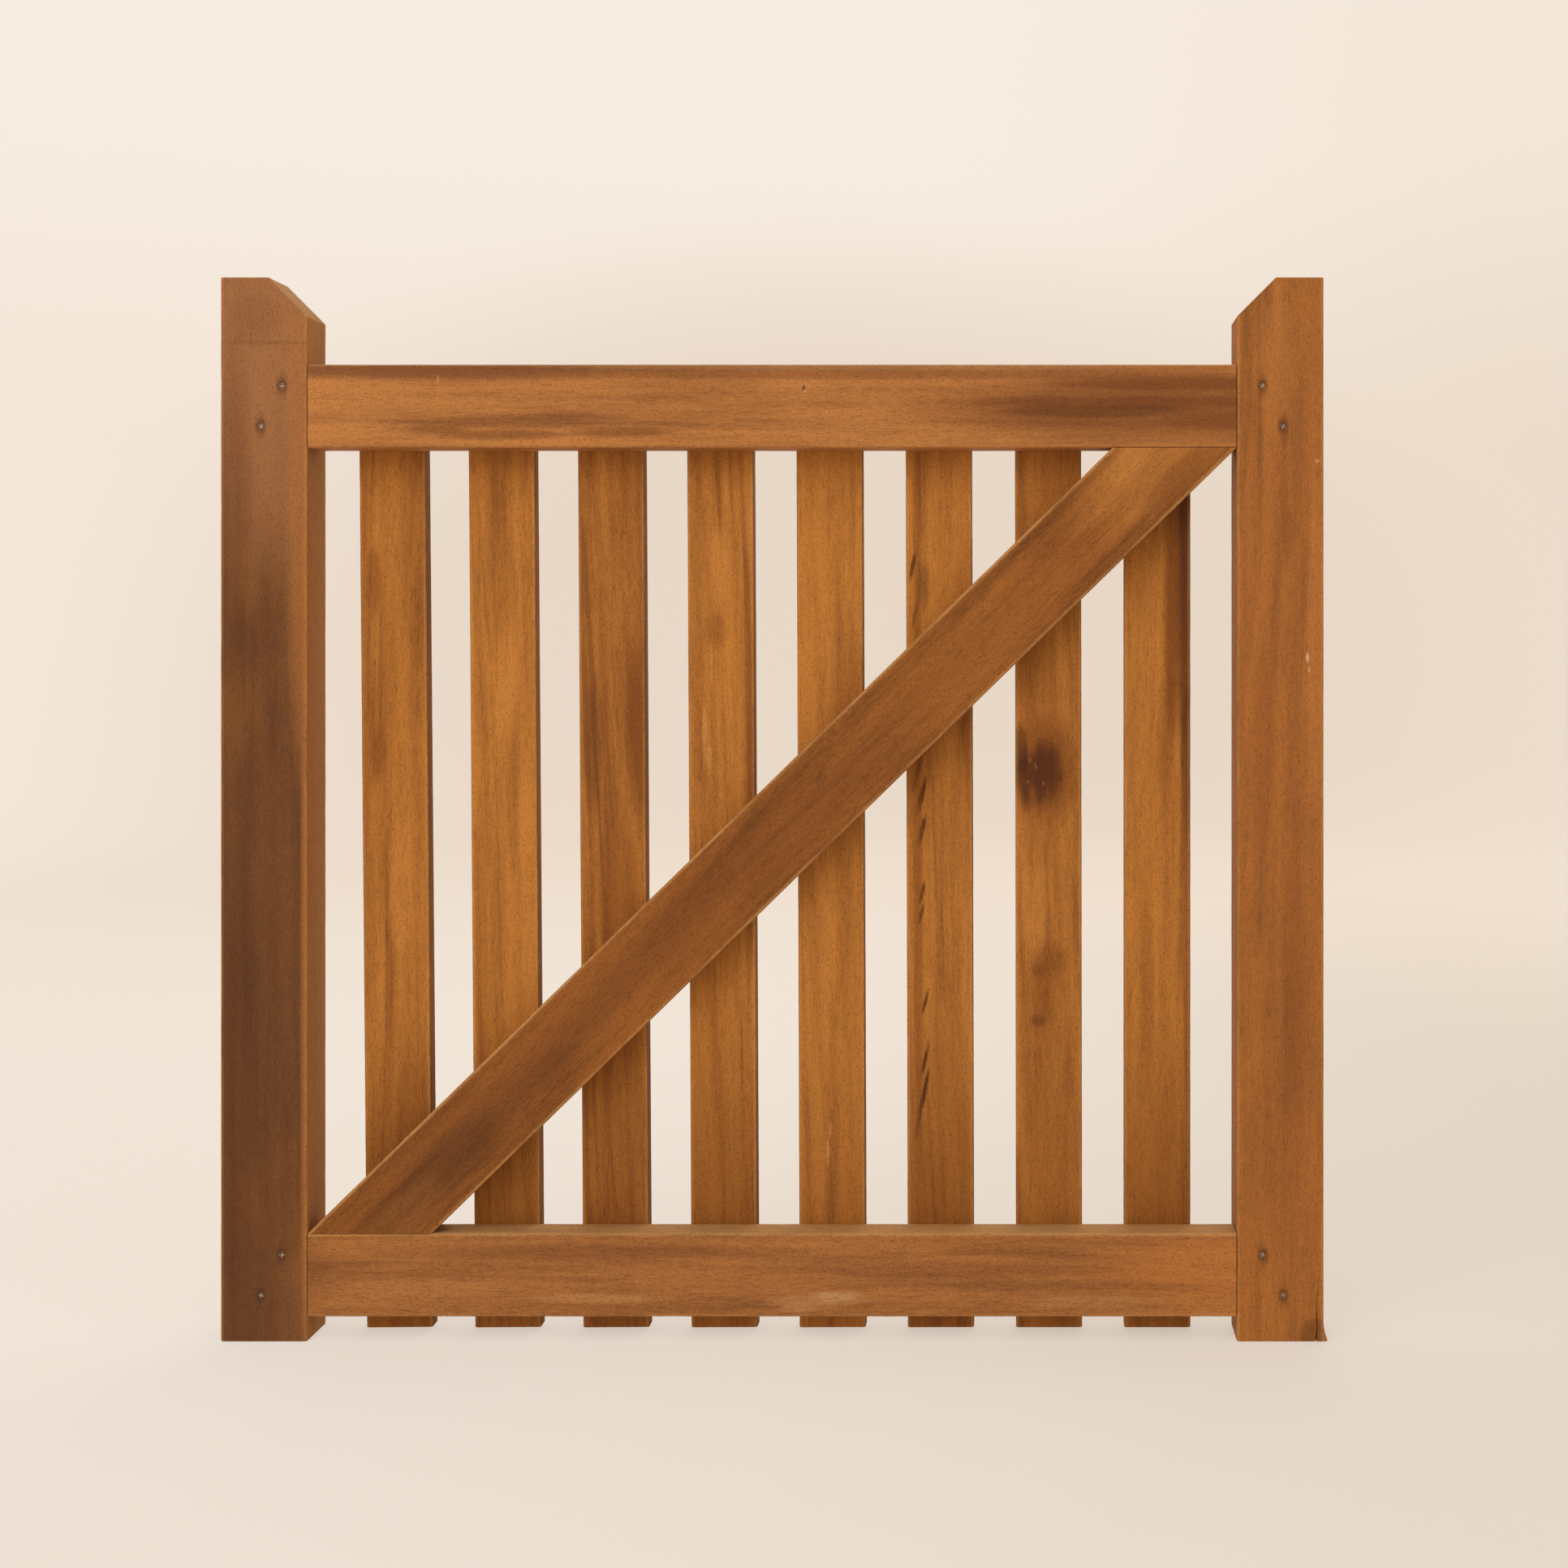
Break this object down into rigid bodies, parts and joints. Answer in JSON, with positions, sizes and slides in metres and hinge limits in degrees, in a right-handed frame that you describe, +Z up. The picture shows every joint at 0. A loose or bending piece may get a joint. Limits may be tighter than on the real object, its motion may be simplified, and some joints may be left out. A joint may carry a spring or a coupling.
{
  "type": "garden gate",
  "caption": "Low wooden garden gate leaf with two stiles, two rails, a diagonal brace and spaced upright boards, without hinges or latch.",
  "frame": {"origin": "on the ground under the middle of the leaf", "axes": "+X along the gate from the hinge stile to the latch stile, +Y from the braced front to the boarded back, +Z up"},
  "size_m": [0.9, 0.045, 0.868],
  "materials": {
    "hinge_stile_timber": "oiled hardwood, dark reddish brown",
    "latch_stile_timber": "oiled hardwood, orange brown",
    "rail_timber": "oiled hardwood, orange brown with dark streaks",
    "brace_timber": "oiled hardwood, reddish brown with worn pale arrises",
    "pale_timber": "oiled hardwood, golden brown, each board its own tone",
    "star_dowel": "mill finish, dulled",
    "nail_steel": "dull stainless steel"
  },
  "bodies": {
    "root": {"hinge_stile": "hinge_stile_timber", "latch_stile": "latch_stile_timber", "top_rail": "rail_timber", "bottom_rail": "rail_timber", "brace": "brace_timber", "pale_1": "pale_timber", "pale_2": "pale_timber", "pale_3": "pale_timber", "pale_4": "pale_timber", "pale_5": "pale_timber", "pale_6": "pale_timber", "pale_7": "pale_timber", "pale_8": "pale_timber", "dowel_hinge_bottom_lower": "star_dowel", "dowel_hinge_bottom_upper": "star_dowel", "dowel_hinge_top_lower": "star_dowel", "dowel_hinge_top_upper": "star_dowel", "dowel_latch_bottom_lower": "star_dowel", "dowel_latch_bottom_upper": "star_dowel", "dowel_latch_top_lower": "star_dowel", "dowel_latch_top_upper": "star_dowel", "nail_bottom_1_left": "nail_steel", "nail_bottom_1_right": "nail_steel", "nail_bottom_2_left": "nail_steel", "nail_bottom_2_right": "nail_steel", "nail_bottom_3_left": "nail_steel", "nail_bottom_3_right": "nail_steel", "nail_bottom_4_left": "nail_steel", "nail_bottom_4_right": "nail_steel", "nail_bottom_5_left": "nail_steel", "nail_bottom_5_right": "nail_steel", "nail_bottom_6_left": "nail_steel", "nail_bottom_6_right": "nail_steel", "nail_bottom_7_left": "nail_steel", "nail_bottom_7_right": "nail_steel", "nail_bottom_8_left": "nail_steel", "nail_bottom_8_right": "nail_steel", "nail_brace_2": "nail_steel", "nail_brace_3": "nail_steel", "nail_brace_4": "nail_steel", "nail_brace_5": "nail_steel", "nail_brace_6": "nail_steel", "nail_brace_7": "nail_steel", "nail_top_1_left": "nail_steel", "nail_top_1_right": "nail_steel", "nail_top_2_left": "nail_steel", "nail_top_2_right": "nail_steel", "nail_top_3_left": "nail_steel", "nail_top_3_right": "nail_steel", "nail_top_4_left": "nail_steel", "nail_top_4_right": "nail_steel", "nail_top_5_left": "nail_steel", "nail_top_5_right": "nail_steel", "nail_top_6_left": "nail_steel", "nail_top_6_right": "nail_steel", "nail_top_7_left": "nail_steel", "nail_top_7_right": "nail_steel", "nail_top_8_left": "nail_steel", "nail_top_8_right": "nail_steel"}
  },
  "joints": []
}
